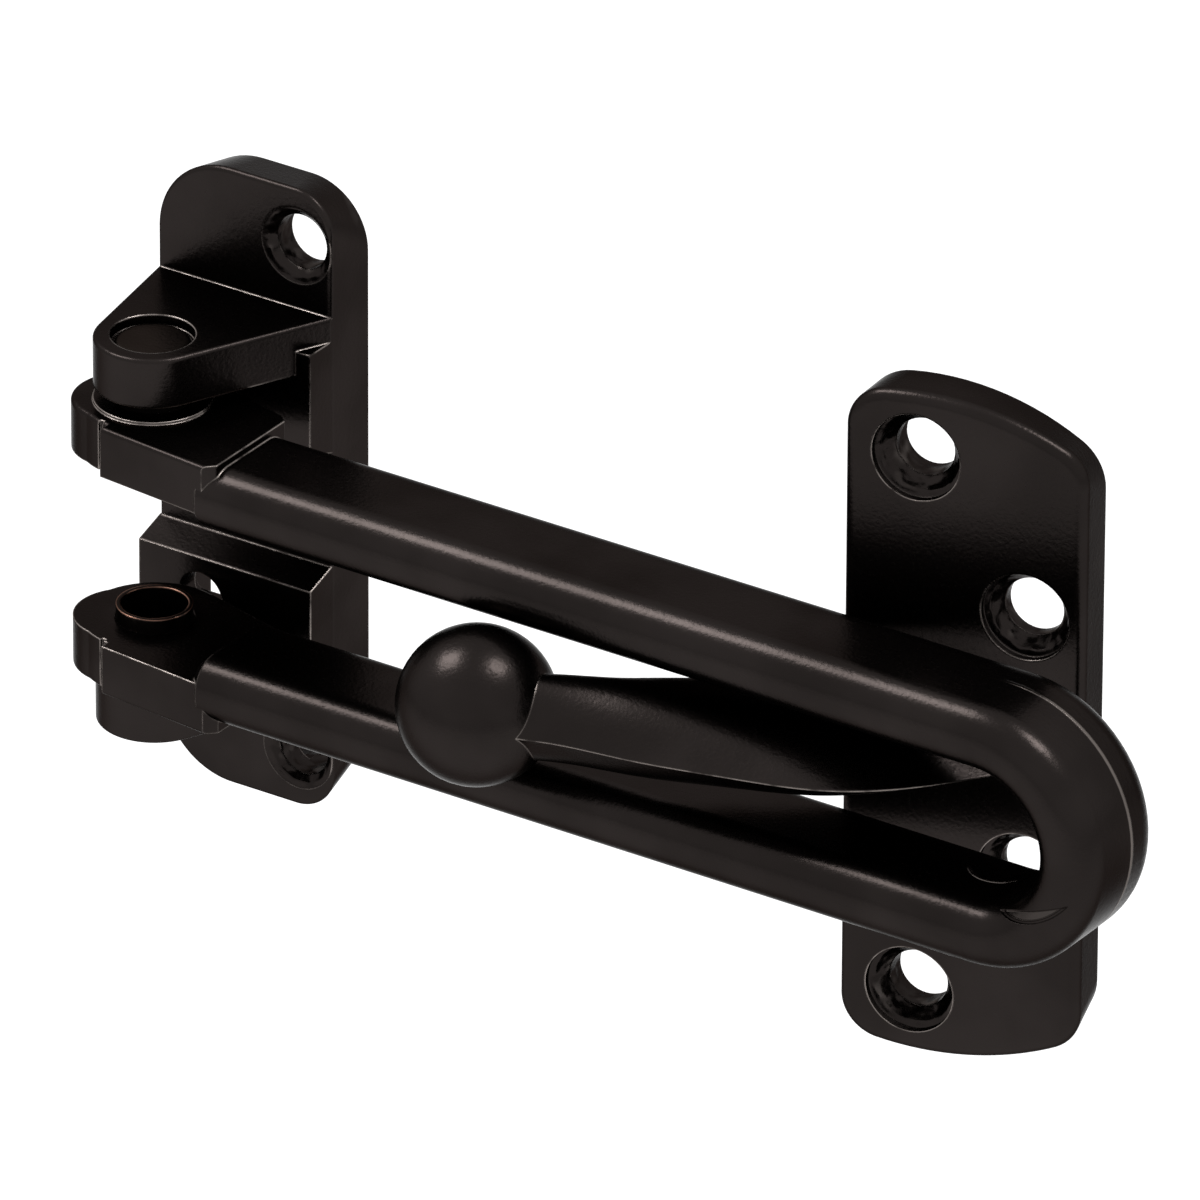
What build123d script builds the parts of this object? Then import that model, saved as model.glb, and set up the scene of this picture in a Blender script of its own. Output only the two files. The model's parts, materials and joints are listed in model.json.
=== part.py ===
# Swing bar door guard: a hinge bracket, a U-shaped bar that swings on two pins,
# and a strike plate whose ball-ended horn rides in the slot of the bar.
# Millimetres. X runs along the closed bar, from the pin axis to its bend. Y runs
# into the door, with the bracket's back face at zero. Z is up from mid-height.
import os
from math import cos, radians, sin

from build123d import *

# hinge bracket
plate_left = 8.1
plate_front_right = 12.4
plate_front_height = 67.8
plate_front_corner = 4.2
plate_back_right = 12.7
plate_back_height = 65.2
plate_back_corner = 6.6
plate_left_corner = 8.4
plate_thick = 6.0
plate_soften = 0.4
relief_rim = 1.9
relief_depth = 2.5
relief_rib = 3.0
relief_corner = 1.0
pad_front = 9.6
pad_edge_height = 7.5
pad_root_height = 6.3
pad_wall = 2.6
pad_hollow_low = 8.7
pad_hollow_high = 15.3
ear_inner_height = 15.8
ear_thick = 5.2
ear_nose_radius = 5.85
ear_soften = 0.35
pin_reach = 18.5
seat_radius = 4.2
seat_depth = 1.1
bracket_screw_x = 8.35
bracket_screw_height = 27.8
bracket_screw_hole = 5.8
bracket_screw_head = 8.2
bracket_head_angle = 100.0
inner_hole_x = -0.7
inner_hole_height = 11.7
inner_hole = 5.0

# pivot pins, drawn cups with their closed ends in the ears' seats
pin_radius = 3.8
pin_wall = 0.45
pin_cap = 1.0
pin_rim_height = 8.4
pin_run_clearance = 0.06

# swing bar
bar_drop = 0.6
arm_depth = 13.0
arm_thick = 6.6
arm_round = 3.0
arm_forward = 3.2
arm_root_x = 10.7
arm_root_slope = 0.9
arm_height = 10.5
bend_start_x = 100.5
knuckle_outer = 14.6
knuckle_inner = 9.3
boss_radius = 5.9
boss_rise = 0.3
knuckle_eye_radius = 7.2
knuckle_lobe_radius = 5.4
knuckle_lobe_x = -2.5
knuckle_lobe_forward = 1.0
knuckle_step_x = -0.6
knuckle_step_front = 8.2
knuckle_end_x = 12.3
knuckle_end_front = 9.5
knuckle_end_back = 4.2
knuckle_end_slope = 1.1
knuckle_soften = 0.4
groove_x = -1.3
groove_width = 0.5
groove_depth = 0.5

# strike plate, placed as the photo has it: its door a little ajar
strike_x = 87.38
strike_y = -4.87
strike_drop = 0.45
strike_turn = 11.0
strike_thick = 5.25
strike_width = 24.8
strike_crown_height = 35.4
strike_front_crown_x = -1.0
strike_front_left_height = 34.4
strike_front_right_height = 31.4
strike_front_corner = 4.2
strike_back_crown_x = -5.0
strike_back_left_height = 34.2
strike_back_right_height = 29.4
strike_back_corner = 5.5
strike_soften = 1.0
strike_relief_rim = 2.3
strike_relief_height = 50.6
strike_relief_depth = 1.3
strike_relief_rib = 3.0
strike_outer_hole_x = -5.05
strike_outer_hole_height = 28.8
strike_inner_hole_x = 6.35
strike_inner_hole_height = 14.0
strike_screw_hole = 6.0
strike_screw_head = 9.1
strike_head_lip = 0.8
strike_head_angle = 82.0

# horn and ball, cast on the strike plate. A station is the place of the front ridge
# and of the crest, each along the plate and out from its front, then the crest's
# half height, the depth behind the crest and how blunt the ridge is.
ball_radius = 7.94
ball_x = -45.0
ball_out = 12.6
horn_stations = [
    (-43.0, 17.0, -43.0, 12.6, 4.1, 3.0, 1.1),
    (-38.5, 17.6, -38.6, 12.4, 4.4, 3.0, 1.1),
    (-30.5, 17.3, -32.0, 10.8, 4.6, 2.8, 1.1),
    (-22.0, 17.3, -25.0, 8.4, 4.9, 2.6, 1.0),
    (-13.9, 16.8, -19.0, 5.7, 4.9, 2.5, 0.85),
    (-6.2, 15.3, -14.0, 3.0, 4.9, 2.5, 0.7),
    (0.5, 11.4, -10.5, 0.0, 4.9, 2.4, 0.55),
    (5.3, 7.2, -7.5, -2.4, 4.8, 2.0, 0.5),
    (9.6, 2.0, -4.0, -4.0, 4.6, 1.0, 0.5),
]

os.makedirs("parts", exist_ok=True)
pin_axis = (0, -pin_reach)
arm_line = -(pin_reach + arm_forward)
ear_outer_height = ear_inner_height + ear_thick

# Hinge bracket: a hollow-backed plate with two ears, two pads and screw holes
with BuildPart() as hinge_bracket:
    # the plate's ends slope, so its back outline differs from its front one
    for depth, right, height, corner in (
            (0, plate_back_right, plate_back_height, plate_back_corner),
            (plate_thick, plate_front_right, plate_front_height, plate_front_corner)):
        with BuildSketch(Plane.XZ.offset(depth)):
            with Locations(((right - plate_left) / 2, 0)):
                Rectangle(right + plate_left, height)
            fillet(vertices().group_by(Axis.X)[0], plate_left_corner)
            fillet(vertices().group_by(Axis.X)[-1], corner)
    loft(ruled=True)
    fillet(hinge_bracket.faces().sort_by(Axis.Y)[0].edges(), plate_soften)
    # upper ear, tapering from the plate to a round nose about the pin
    with BuildSketch(Plane.XY.offset(ear_inner_height)):
        with Locations(pin_axis):
            Circle(ear_nose_radius)
        with Locations(((plate_front_right - plate_left) / 2, -plate_thick / 2)):
            Rectangle(plate_front_right + plate_left, plate_thick)
        make_hull()
    extrude(amount=ear_thick)
    fillet(hinge_bracket.faces().sort_by(Axis.Z).filter_by(
        lambda f: abs(f.center().Z - ear_outer_height) < 0.01)[0].edges().filter_by(
        lambda e: e.center().Y < -plate_thick - 0.5), ear_soften)
    # pad behind the upper knuckle, its lower side sloping back to the plate
    with BuildSketch(Plane.YZ.offset(-plate_left)):
        with BuildLine():
            Polyline(
                (-plate_thick / 2, pad_root_height), (-plate_thick, pad_root_height),
                (-pad_front, pad_edge_height), (-pad_front, ear_inner_height + ear_thick / 2),
                (-plate_thick / 2, ear_inner_height + ear_thick / 2), close=True)
        make_face()
    extrude(amount=plate_left + plate_front_right)
    # seat for the pin's closed end, and the pin's bore through the ear
    with Locations(Plane.XY.offset(ear_outer_height)):
        with Locations(pin_axis):
            CounterBoreHole(pin_radius, seat_radius, seat_depth, ear_thick)
    mirror(about=Plane.XY)
    # cast relief in the back, with a rib across its middle, and deeper behind the pads
    with BuildSketch(Plane.XZ):
        with Locations(((plate_back_right - plate_left) / 2, 0)):
            RectangleRounded(plate_back_right + plate_left - 2 * relief_rim,
                             plate_back_height - 2 * relief_rim, plate_back_corner - relief_rim)
            Rectangle(plate_back_right + plate_left, relief_rib, mode=Mode.SUBTRACT)
    extrude(amount=relief_depth, mode=Mode.SUBTRACT)
    pad_hollow_middle = (pad_hollow_low + pad_hollow_high) / 2
    with BuildSketch(Plane.XZ):
        with Locations(((plate_front_right - plate_left) / 2, pad_hollow_middle),
                       ((plate_front_right - plate_left) / 2, -pad_hollow_middle)):
            RectangleRounded(plate_front_right + plate_left - 2 * relief_rim,
                             pad_hollow_high - pad_hollow_low, relief_corner)
    extrude(amount=pad_front - pad_wall, mode=Mode.SUBTRACT)
    # two countersunk screw holes, and two plain ones behind the knuckles
    with Locations(Plane.XZ.offset(plate_thick)):
        with Locations((bracket_screw_x, bracket_screw_height), (bracket_screw_x, -bracket_screw_height)):
            CounterSinkHole(bracket_screw_hole / 2, bracket_screw_head / 2, plate_thick, bracket_head_angle)
    with Locations(Plane.XZ.offset(pad_front)):
        with Locations((inner_hole_x, inner_hole_height), (inner_hole_x, -inner_hole_height)):
            Hole(inner_hole / 2, pad_front)
hinge_bracket.part.label = "hinge_bracket"
export_step(hinge_bracket.part, "parts/hinge_bracket.step")

# Upper pivot pin: a drawn cup, closed end up, pressed in the upper ear
with BuildPart() as upper_pivot_pin:
    with BuildSketch(Plane.XY.offset(pin_rim_height)):
        with Locations(pin_axis):
            Circle(pin_radius)
    extrude(amount=ear_outer_height - seat_depth - pin_rim_height + pin_cap / 2)
    fillet(upper_pivot_pin.edges().sort_by(Axis.Z)[-1], pin_cap / 2)
    with BuildSketch(Plane.XY.offset(pin_rim_height)):
        with Locations(pin_axis):
            Circle(pin_radius - pin_wall)
    extrude(amount=ear_outer_height - seat_depth - pin_rim_height - pin_cap / 2, mode=Mode.SUBTRACT)
upper_pivot_pin.part.label = "upper_pivot_pin"
export_step(upper_pivot_pin.part, "parts/upper_pivot_pin.step")

# Lower pivot pin: the same cup, closed end down
with BuildPart() as lower_pivot_pin:
    add(upper_pivot_pin.part)
    mirror(about=Plane.XY, mode=Mode.REPLACE)
lower_pivot_pin.part.label = "lower_pivot_pin"
export_step(lower_pivot_pin.part, "parts/lower_pivot_pin.step")

# Swing bar: two flat arms with well rounded edges, their bend, and a knuckle at each end
with BuildPart() as swing_bar:
    with BuildLine(Plane.XZ.offset(-arm_line)) as bar_path:
        upper_line = Line((arm_root_x, arm_height - bar_drop), (bend_start_x, arm_height - bar_drop))
        bend = TangentArc(upper_line @ 1, (bend_start_x, -arm_height - bar_drop), tangent=upper_line % 1)
        Line(bend @ 1, (arm_root_x, -arm_height - bar_drop))
    with BuildSketch(Plane(origin=bar_path.line @ 0, x_dir=(0, 1, 0), z_dir=bar_path.line % 0)):
        RectangleRounded(arm_depth, arm_thick, arm_round)
    sweep(path=bar_path.line)
    chamfer(swing_bar.edges().group_by(Axis.X)[0], arm_root_slope)
    # upper knuckle: eye about the pin, a lobe on its outer end, and a front face that
    # stands forward of the eye and widens towards the arm
    with BuildSketch(Plane.XY.offset(knuckle_inner - bar_drop)):
        with Locations(pin_axis):
            Circle(knuckle_eye_radius)
            with Locations((knuckle_lobe_x, -knuckle_lobe_forward)):
                Circle(knuckle_lobe_radius)
        with BuildLine():
            Polyline(
                (knuckle_step_x, -pin_reach), (knuckle_step_x, -pin_reach - knuckle_step_front),
                (knuckle_end_x, -pin_reach - knuckle_end_front),
                (knuckle_end_x + knuckle_end_slope, -pin_reach - knuckle_end_front + knuckle_end_slope),
                (knuckle_end_x + knuckle_end_slope, -pin_reach + knuckle_end_back - knuckle_end_slope),
                (knuckle_end_x, -pin_reach + knuckle_end_back),
                (knuckle_eye_radius / 4, -pin_reach + knuckle_eye_radius * 0.968), close=True)
        make_face()
    extrude(amount=knuckle_outer - knuckle_inner)
    fillet(swing_bar.edges().filter_by(
        lambda e: e.center().X < arm_root_x + 1 and e.center().Z > 0
        and abs(e.center().Z + bar_drop - knuckle_outer) < 0.01), knuckle_soften)
    # raised boss round the pin on the knuckle's outer face
    with BuildSketch(Plane.XY.offset(knuckle_outer - bar_drop)):
        with Locations(pin_axis):
            Circle(boss_radius)
    extrude(amount=boss_rise)
    # groove down the knuckle's front, beside its rounded end
    with BuildSketch(Plane.XY.offset(knuckle_inner - bar_drop - 1)):
        with Locations((groove_x, -pin_reach - knuckle_eye_radius)):
            Rectangle(groove_width, 2 * groove_depth)
    extrude(amount=knuckle_outer - knuckle_inner + 2, mode=Mode.SUBTRACT)
    with BuildSketch(Plane.XY.offset(knuckle_inner - bar_drop - 1)):
        with Locations(pin_axis):
            Circle(pin_radius + pin_run_clearance)
    extrude(amount=knuckle_outer - knuckle_inner + boss_rise + 2, mode=Mode.SUBTRACT)
    mirror(about=Plane.XY.offset(-bar_drop))
swing_bar.part.label = "swing_bar"
export_step(swing_bar.part, "parts/swing_bar.step")

# Strike plate: arched plate with four countersunk holes, and its ball-ended horn
strike_across = Vector(cos(radians(strike_turn)), sin(radians(strike_turn)), 0)
strike_out = Vector(sin(radians(strike_turn)), -cos(radians(strike_turn)), 0)
strike_back = Plane(origin=(strike_x, strike_y, -strike_drop), x_dir=strike_across, z_dir=strike_out)
strike_front = strike_back.offset(strike_thick)
side = strike_width / 2
with BuildPart() as strike_plate:
    # the plate's ends slope, so its back outline differs from its front one
    for level, left_height, crown_x, right_height, corner in (
            (strike_back, strike_back_left_height, strike_back_crown_x,
             strike_back_right_height, strike_back_corner),
            (strike_front, strike_front_left_height, strike_front_crown_x,
             strike_front_right_height, strike_front_corner)):
        with BuildSketch(level):
            with BuildLine():
                ThreePointArc((-side, left_height), (crown_x, strike_crown_height), (side, right_height))
                Line((side, right_height), (side, -right_height))
                ThreePointArc((side, -right_height), (crown_x, -strike_crown_height), (-side, -left_height))
                Line((-side, -left_height), (-side, left_height))
            make_face()
            fillet(vertices(), corner)
    loft(ruled=True)
    fillet(faces().sort_by(Axis((0, 0, 0), strike_out))[-1].edges(), strike_soften)
    # upper half of the horn, then the lower, with a sharp ridge where they meet in front
    for ridge_along, ridge_out, crest_along, crest_out, height, back, edge in horn_stations:
        ridge = strike_front.origin + strike_across * ridge_along + strike_out * ridge_out
        crest = strike_front.origin + strike_across * crest_along + strike_out * crest_out
        forward = (ridge - crest).normalized()
        deep = (ridge - crest).length
        with BuildSketch(Plane(origin=crest, x_dir=forward, z_dir=forward.cross(Vector(0, 0, 1)))):
            with BuildLine():
                Bezier((deep, 0), (0.75 * deep, 0.25 * edge * deep), (0.5 * deep, height), (0, height))
                Bezier((0, height), (-0.55 * back, height), (-back, 0.55 * height), (-back, 0))
                Line((-back, 0), (deep, 0))
            make_face()
    upper_horn = loft(mode=Mode.PRIVATE)
    add(upper_horn)
    mirror(upper_horn, about=Plane.XY.offset(-strike_drop))
    ball_centre = strike_front.origin + strike_across * ball_x + strike_out * ball_out
    with Locations(Plane(origin=ball_centre, x_dir=-strike_across)):
        Sphere(ball_radius)
    split(bisect_by=strike_back, keep=Keep.TOP)
    # shallow relief in the back, with a rib across its middle
    with BuildSketch(strike_back):
        RectangleRounded(strike_width - 2 * strike_relief_rim, strike_relief_height, strike_back_corner)
        Rectangle(strike_width, strike_relief_rib, mode=Mode.SUBTRACT)
    extrude(amount=strike_relief_depth, mode=Mode.SUBTRACT)
    # four countersunk screw holes, two outer on the left and two inner on the right
    with Locations(strike_front):
        with Locations((strike_outer_hole_x, strike_outer_hole_height),
                       (strike_outer_hole_x, -strike_outer_hole_height),
                       (strike_inner_hole_x, strike_inner_hole_height),
                       (strike_inner_hole_x, -strike_inner_hole_height)):
            Hole(strike_screw_head / 2, strike_head_lip)
            with Locations((0, 0, -strike_head_lip)):
                CounterSinkHole(strike_screw_hole / 2, strike_screw_head / 2, strike_thick,
                                strike_head_angle)
strike_plate.part.label = "strike_plate"
export_step(strike_plate.part, "parts/strike_plate.step")
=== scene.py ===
import json
from math import pi, radians

import bpy
from mathutils import Matrix, Vector

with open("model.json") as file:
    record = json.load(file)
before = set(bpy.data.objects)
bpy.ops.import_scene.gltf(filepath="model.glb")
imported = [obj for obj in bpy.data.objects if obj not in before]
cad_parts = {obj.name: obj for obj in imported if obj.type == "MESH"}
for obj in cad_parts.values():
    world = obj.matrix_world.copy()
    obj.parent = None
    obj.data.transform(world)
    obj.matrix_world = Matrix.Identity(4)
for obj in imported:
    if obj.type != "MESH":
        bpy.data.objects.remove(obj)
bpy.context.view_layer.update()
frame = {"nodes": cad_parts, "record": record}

# Hinge bracket: a zinc die casting with two ears for the pins and two pads that back
# the knuckles. It is plated and lacquered a satin dark bronze, which thins on the edges,
# painted lighter there as wear and as painted highlights; two countersunk wood screws hold it to the
# jamb.


class Val:
    """A shader socket that takes plain arithmetic."""

    def __init__(self, mat, socket):
        self.mat, self.socket = mat, socket

    def math(self, op, *others):
        return self.mat.node("ShaderNodeMath", {"operation": op}, dict(enumerate((self,) + others)))[0]

    def __add__(self, other):
        return self.math("ADD", other)

    def __sub__(self, other):
        return self.math("SUBTRACT", other)

    def __rsub__(self, other):
        return self.math("MULTIPLY", -1.0).math("ADD", other)

    def __mul__(self, other):
        return self.math("MULTIPLY", other)

    __radd__, __rmul__ = __add__, __mul__

    def size(self):
        return self.math("ABSOLUTE")

    def away(self, other):
        """How far the point given by this and the other lies from zero."""
        return (self * self + other * other).math("SQRT")

    def ramp(self, low, high):
        """Zero at low, one at high, smooth between; low may be the greater."""
        return self.mat.node("ShaderNodeMapRange", {"interpolation_type": "SMOOTHSTEP"},
                             {0: self, 1: low, 2: high, 3: 0.0, 4: 1.0})[0]

    def mix(self, a, b):
        """Colour a where this is zero, b where it is one."""
        return self.mat.node("ShaderNodeMix", {"data_type": "RGBA"}, {0: self, 6: a, 7: b})[2]

    def blend(self, a, b):
        """Shader a where this is zero, b where it is one."""
        return self.mat.node("ShaderNodeMixShader", {}, {0: self, 1: a, 2: b})[0]


class Mat:
    """A procedural material or world, built node by node."""

    def __init__(self, name, home=bpy.data.materials):
        self.data = home.new(name)
        self.data.use_nodes = True
        self.tree = self.data.node_tree
        self.tree.nodes.clear()

    def node(self, kind, settings, inputs):
        made = self.tree.nodes.new(kind)
        for key, value in settings.items():
            setattr(made, key, value)
        for key, value in inputs.items():
            if isinstance(value, Val):
                self.tree.links.new(value.socket, made.inputs[key])
            else:
                made.inputs[key].default_value = value
        return [Val(self, o) for o in made.outputs]

    def place(self):
        """The object's own coordinates, which are those of the frame in metres."""
        return self.node("ShaderNodeTexCoord", {}, {})[3]

    def axes(self):
        """Place along the bar, into the door and upwards, in metres."""
        return self.node("ShaderNodeSeparateXYZ", {}, {0: self.place()})

    def noise(self, scale, detail=3.0):
        return self.node("ShaderNodeTexNoise", {}, {"Vector": self.place(), "Scale": scale,
                                                    "Detail": detail, "Roughness": 0.5})[0]

    def bump(self, height, distance, normal):
        return self.node("ShaderNodeBump", {}, {"Strength": 1.0, "Distance": distance,
                                                "Height": height, "Normal": normal})[0]

    def seen(self):
        """One for camera, mirrored and transmitted rays, zero for the rest."""
        rays = self.node("ShaderNodeLightPath", {}, {})
        return (rays[0] + rays[3] + rays[6]).math("MINIMUM", 1.0)

    def finish(self, shader, output="ShaderNodeOutputMaterial"):
        out = self.tree.nodes.new(output)
        self.tree.links.new(shader.socket, out.inputs[0])
        return self.data


def bronze(name, dark, light, edge_wear_and_highlight, rough, edge, marks=None):
    """Satin bronze finish: clouded colour, cast grain, rounded edges painted lighter as wear and as
    painted highlights, cast marks.
    """
    m = Mat(name)
    grain_height, open_share = 0.00002, 0.5
    cloud = m.noise(70.0).ramp(0.35, 0.65)
    grain = m.noise(2600.0, 2.0)
    rounded = m.node("ShaderNodeBevel", {"samples": 8}, {"Radius": edge})[0]
    face = m.node("ShaderNodeNewGeometry", {}, {})[1]
    turn = m.node("ShaderNodeVectorMath", {"operation": "DOT_PRODUCT"}, {0: rounded, 1: face})[1]
    # Edges and junctions, where the rounded normal leaves the face, are painted lighter: lacquer thinned
    # by wear, and painted highlights.
    wear_and_highlight_mask = (1.0 - turn).ramp(0.01, 0.22) * m.noise(500.0, 2.0).ramp(0.2, 0.6)
    normal = m.bump(grain, grain_height, rounded)
    if marks:
        height, rub_and_highlight = marks(m)
        wear_and_highlight_mask = (wear_and_highlight_mask + rub_and_highlight * open_share).math("MINIMUM", 1.0)
        normal = m.bump(height, 1.0, normal)
    return m.finish(m.node("ShaderNodeBsdfPrincipled", {}, {
        # Base colour: clouded, and painted lighter at edges and marks, as wear and as painted highlights.
        "Base Color": wear_and_highlight_mask.mix(cloud.mix(dark, light), edge_wear_and_highlight),
        "Metallic": 1.0,
        "Specular Tint": (0.45, 0.45, 0.45, 1),
        "Roughness": rough + grain * 0.08,
        "Normal": normal})[0])


def dress(node, material):
    part = frame["nodes"][node]
    part.data.materials.clear()
    part.data.materials.append(material)


def pooled_and_highlit(m, along, up, holes, head_radius):
    """Lumpy lacquer that has run into the countersinks: height in metres, and painted highlights on its
    lumps, which the finish adds to its lighter edge colour.
    """
    fade, thickness = 0.0006, 0.0008
    lumps = m.noise(420.0, 1.5)
    near = [(along - x).away(up - z).ramp(head_radius, head_radius - fade) for x, z in holes]
    inside = sum(near[1:], near[0])
    # The lumps in the countersinks are painted lighter as well: painted highlights.
    return inside * lumps * thickness, inside * lumps.ramp(0.55, 0.75) * 0.3


mounts = {mount["name"]: mount for mount in frame["record"]["mounts"]}


def bracket_lacquer_and_highlights(m):
    """The two holes mirror each other, so one hole and the size of the height do for both."""
    screws = mounts["bracket_screws"]
    hole = screws["pos_m"][0], screws["dims"]["spacing_y_mm"] / 2000
    along, _, up = m.axes()
    return pooled_and_highlit(m, along, up.size(), [hole], head_radius=0.0041)


# The edge colour is a light bronze: wear, and painted highlights along every edge and junction.
casting = {"dark": (0.0175, 0.0145, 0.0136, 1), "light": (0.0230, 0.0191, 0.0180, 1),
           "edge_wear_and_highlight": (0.26, 0.228, 0.210, 1), "rough": 0.22, "edge": 0.00035}
dress("hinge_bracket", bronze("dark_bronze_bracket", marks=bracket_lacquer_and_highlights, **casting))

# Pivot pins: thin drawn cups pressed in the ears, closed end outside. Where it stands
# above the knuckle, the open rim has lost its finish to a copper brown. That colour is
# painted on all their edges, as wear at the rim and as painted highlights elsewhere.
drawn = bronze("dark_bronze_pin", dark=(0.0170, 0.0136, 0.0122, 1), light=(0.0230, 0.0182, 0.0162, 1),
               edge_wear_and_highlight=(0.30, 0.160, 0.115, 1), rough=0.26, edge=0.0003)
for pin in ("upper_pivot_pin", "lower_pivot_pin"):
    dress(pin, drawn)


# Swing bar: one zinc casting, two flat arms with well rounded edges, a bend, and a
# knuckle at each arm's end. The dies have left a fine seam round the bend.
def cast_marks_and_highlights(m):
    """The seam round the bend and two marks inside it: height in metres, and painted highlights on them,
    which the finish adds to its lighter edge colour.
    """
    along, deep, up = m.axes()
    bend_x, bend_z, seam_y = 0.1005, -0.0006, -0.0202
    radius = (along - bend_x).away(up - bend_z)
    outside = radius.ramp(0.0120, 0.0130) * along.ramp(0.0980, 0.1060)
    behind = deep - seam_y
    seam = behind.size().ramp(0.00030, 0.00012) * outside
    draft = behind.math("MAXIMUM", 0.0) * outside * 0.14

    # a shallow notch in the front rim, inside the bend: an arc's piece below a chord
    notch_x, notch_z, notch_radius = 0.1049, 0.0015, 0.00865
    arc = (along - notch_x).away(up - notch_z) - notch_radius
    chord_x, chord_z, chord_run, chord_rise = 0.1046, -0.0071, 0.917, 0.383
    chord = (up - chord_z) * chord_run - (along - chord_x) * chord_rise
    below = chord.ramp(0.0001, -0.0001) * deep.ramp(-0.0240, -0.0256) * up.ramp(-0.0030, -0.0040)
    shelf = arc.ramp(0.0001, -0.0001) * below
    rim_width = 0.0002
    rim = (arc - rim_width).size().ramp(0.00022, 0.00006) * below

    # a low round ridge on the lower arm, of which the front half stands out
    ridge_x, ridge_y, ridge_radius = 0.0987, -0.01875, 0.00305
    ring = (along - ridge_x).away(deep - ridge_y) - ridge_radius
    ridge = ring.size().ramp(0.00024, 0.00008) * deep.ramp(-0.0200, -0.0210)
    ridge = ridge * up.ramp(-0.0060, -0.0070) * radius.ramp(0.0100, 0.0090)

    seam_height, shelf_depth, rim_depth, ridge_height = 0.00016, 0.0002, 0.0003, 0.0003
    height = seam * seam_height - draft - shelf * shelf_depth - rim * rim_depth + ridge * ridge_height
    # The seam, the shelf and the ridge are painted lighter as well: painted highlights.
    return height, seam + shelf * 0.2 + ridge * 1.5


dress("swing_bar", bronze("dark_bronze_bar", marks=cast_marks_and_highlights, **casting))


# Strike plate: an arched zinc casting with a ridged horn that carries the ball. Four
# countersunk wood screws hold it to the door.
def strike_lacquer_and_highlights(m):
    """The strike stands askew, so its holes are placed across its own back."""
    back = mounts["strike_back"]
    middle, inward = Vector(back["pos_m"]), Vector(back["axis"])
    side = Vector((inward.y, -inward.x, 0))
    offsets = [Vector(mounts[name]["pos_m"]) - middle
               for name in ("strike_screw_upper_outer", "strike_screw_upper_inner")]
    along, deep, up = m.axes()
    across = (along - middle.x) * side.x + (deep - middle.y) * side.y
    return pooled_and_highlit(m, across, (up - middle.z).size(), [(offset.dot(side), offset.z) for offset in offsets],
                  head_radius=0.0046)


dress("strike_plate", bronze("dark_bronze_strike", marks=strike_lacquer_and_highlights, **casting))

# Camera: nearly parallel view from the right and above, as the photograph has it.
azimuth, elevation, roll = radians(33.75), radians(27.45), radians(0.27)
aim, distance = Vector((0.04003, 0, -0.00434)), 1.9478
turn = (Matrix.Rotation(azimuth, 4, "Z") @ Matrix.Rotation(radians(90) - elevation, 4, "X")
        @ Matrix.Rotation(roll, 4, "Z"))
camera = bpy.data.objects.new("camera", bpy.data.cameras.new("camera"))
camera.data.lens = 600
camera.data.clip_end = 20
camera.matrix_world = Matrix.Translation(aim + turn @ Vector((0, 0, distance))) @ turn
bpy.context.scene.collection.objects.link(camera)
bpy.context.scene.camera = camera

# Floor: a plain pale sheet some way below the part, lit by the lamps. Where it is seen
# or mirrored it glows a little as well, so that it shows white.
pale = Mat("pale_floor")
paint = pale.node("ShaderNodeBsdfDiffuse", {}, {
    "Color": pale.noise(3.0).mix((0.78, 0.78, 0.78, 1), (0.80, 0.80, 0.80, 1))})[0]
glow = pale.node("ShaderNodeEmission", {}, {"Color": (1, 1, 1, 1), "Strength": 0.6})[0]
lit = pale.node("ShaderNodeAddShader", {}, {0: paint, 1: glow})[0]
reach, depth = 6, -0.16
sheet = bpy.data.meshes.new("floor")
sheet.from_pydata([(-reach, -reach, depth), (reach, -reach, depth), (reach, reach, depth),
                   (-reach, reach, depth)], [], [(0, 1, 2, 3)])
sheet.materials.append(pale.finish(pale.seen().blend(paint, lit)))
floor = bpy.data.objects.new("floor", sheet)
bpy.context.scene.collection.objects.link(floor)


# Lights: two plain soft boxes above the part, to its left and its right.
def softbox(name, way, width, bright):
    """A square lamp one metre from the part's middle, of the given radiance."""
    part_middle = Vector((0.05, -0.01, 0))
    lamp = bpy.data.lights.new(name, "AREA")
    lamp.shape, lamp.size = "SQUARE", width
    lamp.energy = bright * pi * width * width
    held = bpy.data.objects.new(name, lamp)
    held.location = part_middle + Vector(way).normalized()
    held.rotation_euler = (-Vector(way)).to_track_quat("-Z", "Y").to_euler()
    bpy.context.scene.collection.objects.link(held)


softbox("left_box", (-0.546, -0.126, 0.827), 0.38, 13.0)
softbox("right_box", (0.370, 0.165, 0.912), 0.34, 14.0)

# World: white where it is seen or mirrored, dim for the part's own light.
studio = Mat("studio", bpy.data.worlds)
dim, white = [studio.node("ShaderNodeBackground", {}, {"Color": (1, 1, 1, 1), "Strength": strength})[0]
              for strength in (0.2, 1.0)]
bpy.context.scene.world = studio.finish(studio.seen().blend(dim, white), "ShaderNodeOutputWorld")
bpy.context.scene.view_settings.view_transform = "Standard"
